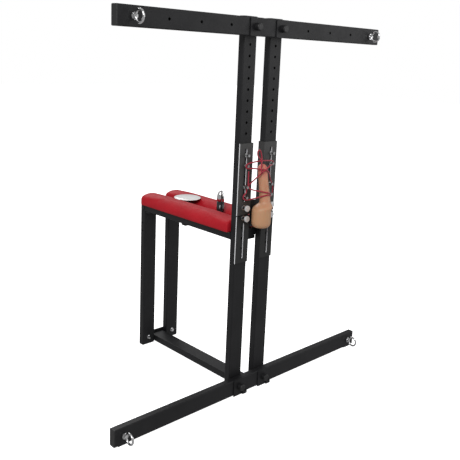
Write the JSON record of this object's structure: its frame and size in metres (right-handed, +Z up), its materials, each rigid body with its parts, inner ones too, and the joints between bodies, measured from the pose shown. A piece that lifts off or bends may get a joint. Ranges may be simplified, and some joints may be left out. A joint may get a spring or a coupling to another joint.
{
  "type": "restraint frame",
  "caption": "Free-standing black steel frame: cross bars with swivel eyes, uprights with a height-adjustable soft form, and a narrow padded bench with two sliding posts.",
  "frame": {"origin": "on the floor, under the middle of the bounding box without the lacing", "axes": "+X along the two cross bars, +Y towards the bench's rear legs, +Z up"},
  "size_m": [1.024, 0.5476, 1.1295],
  "materials": {
    "frame_steel": "black powder coat, satin",
    "black_plastic": "moulded, matte",
    "fastener_black": "black oxide",
    "bracket_steel": "satin grey",
    "chrome": "polished",
    "zinc_steel": "zinc plated",
    "vinyl": "red vinyl, satin",
    "plywood": "raw plywood",
    "rubber_foot": "matte",
    "soft_skin": "soft matte",
    "cord": "braided, matte",
    "white_plastic": "moulded, glossy",
    "knob_metal": "knurled, satin"
  },
  "bodies": {
    "frame": {"bottom_bar": "frame_steel", "top_bar": "frame_steel", "upright_left": "frame_steel", "upright_right": "frame_steel", "clamp_plates": "frame_steel", "bench_rail_left": "frame_steel", "bench_rail_right": "frame_steel", "leg_left": "frame_steel", "leg_right": "frame_steel", "rear_crosspiece": "frame_steel", "floor_rail": "frame_steel", "front_crosspiece": "frame_steel", "post_track": "frame_steel", "track_ties": "frame_steel", "bar_end_plugs": "black_plastic", "upright_caps": "black_plastic", "leg_caps": "black_plastic", "eye_bushes": "black_plastic", "glides": "rubber_foot", "clamp_bolts": "fastener_black", "frame_nuts": "zinc_steel", "board_screws": "zinc_steel", "rear_bolts": "chrome", "board_left": "plywood", "cushion_left": "vinyl", "lower_bracket_left": "frame_steel", "board_right": "plywood", "cushion_right": "vinyl", "lower_bracket_right": "frame_steel", "lower_knob_washers": "zinc_steel"},
    "carrier": {"upper_bracket_left": "bracket_steel", "upper_bracket_right": "bracket_steel", "upper_knob_washers": "zinc_steel", "cord_pins": "chrome", "form_plate": "frame_steel", "form_stud": "zinc_steel", "soft_form": "soft_skin", "lacing_main": "cord", "lacing_cross": "cord", "lacing_bow": "cord", "lacing_knot": "cord"},
    "upper_thumb_knob_left": {"upper_knob_left": "knob_metal"},
    "lower_thumb_knob_left": {"lower_knob_left": "knob_metal"},
    "upper_thumb_knob_right": {"upper_knob_right": "knob_metal"},
    "lower_thumb_knob_right": {"lower_knob_right": "knob_metal"},
    "swivel_eye_top_left": {"eye_top_left": "chrome", "eye_nut_top_left": "zinc_steel"},
    "swivel_eye_top_right": {"eye_top_right": "chrome", "eye_nut_top_right": "zinc_steel"},
    "swivel_eye_low_left": {"eye_low_left": "chrome", "eye_nut_low_left": "zinc_steel"},
    "swivel_eye_low_right": {"eye_low_right": "chrome", "eye_nut_low_right": "zinc_steel"},
    "disc_slider": {"disc_carriage": "black_plastic"},
    "disc_column": {"disc_post": "zinc_steel", "disc_head": "white_plastic"},
    "bullet_slider": {"bullet_carriage": "black_plastic"},
    "bullet_column": {"bullet_post": "zinc_steel", "bullet_head": "chrome"}
  },
  "joints": [
    {"name": "carrier_height", "type": "slide", "parent": "frame", "child": "carrier", "axis": [0, 0, 1], "range_m": [0, 0.155]},
    {"name": "upper_knob_left_turn", "type": "hinge", "parent": "carrier", "child": "upper_thumb_knob_left", "pos_m": [-0.0615, -0.22025, 0.588], "axis": [0, 1, 0], "continuous": true},
    {"name": "lower_knob_left_turn", "type": "hinge", "parent": "frame", "child": "lower_thumb_knob_left", "pos_m": [-0.0615, -0.22025, 0.557], "axis": [0, 1, 0], "continuous": true},
    {"name": "upper_knob_right_turn", "type": "hinge", "parent": "carrier", "child": "upper_thumb_knob_right", "pos_m": [0.0415, -0.22025, 0.588], "axis": [0, 1, 0], "continuous": true},
    {"name": "lower_knob_right_turn", "type": "hinge", "parent": "frame", "child": "lower_thumb_knob_right", "pos_m": [0.0415, -0.22025, 0.557], "axis": [0, 1, 0], "continuous": true},
    {"name": "eye_top_left_turn", "type": "hinge", "parent": "frame", "child": "swivel_eye_top_left", "pos_m": [-0.464, -0.22125, 1.101], "axis": [0, 1, 0], "continuous": true},
    {"name": "eye_top_right_turn", "type": "hinge", "parent": "frame", "child": "swivel_eye_top_right", "pos_m": [0.464, -0.22125, 1.101], "axis": [0, 1, 0], "continuous": true},
    {"name": "eye_low_left_turn", "type": "hinge", "parent": "frame", "child": "swivel_eye_low_left", "pos_m": [-0.48, -0.22125, 0.028], "axis": [0, 1, 0], "continuous": true},
    {"name": "eye_low_right_turn", "type": "hinge", "parent": "frame", "child": "swivel_eye_low_right", "pos_m": [0.48, -0.22125, 0.028], "axis": [0, 1, 0], "continuous": true},
    {"name": "disc_along", "type": "slide", "parent": "frame", "child": "disc_slider", "axis": [0, 1, 0], "range_m": [-0.04, 0.09]},
    {"name": "disc_height", "type": "slide", "parent": "disc_slider", "child": "disc_column", "axis": [0, 0, 1], "range_m": [0, 0.02]},
    {"name": "bullet_along", "type": "slide", "parent": "frame", "child": "bullet_slider", "axis": [0, 1, 0], "range_m": [-0.06, 0.05]},
    {"name": "bullet_height", "type": "slide", "parent": "bullet_slider", "child": "bullet_column", "axis": [0, 0, 1], "range_m": [0, 0.02]}
  ]
}
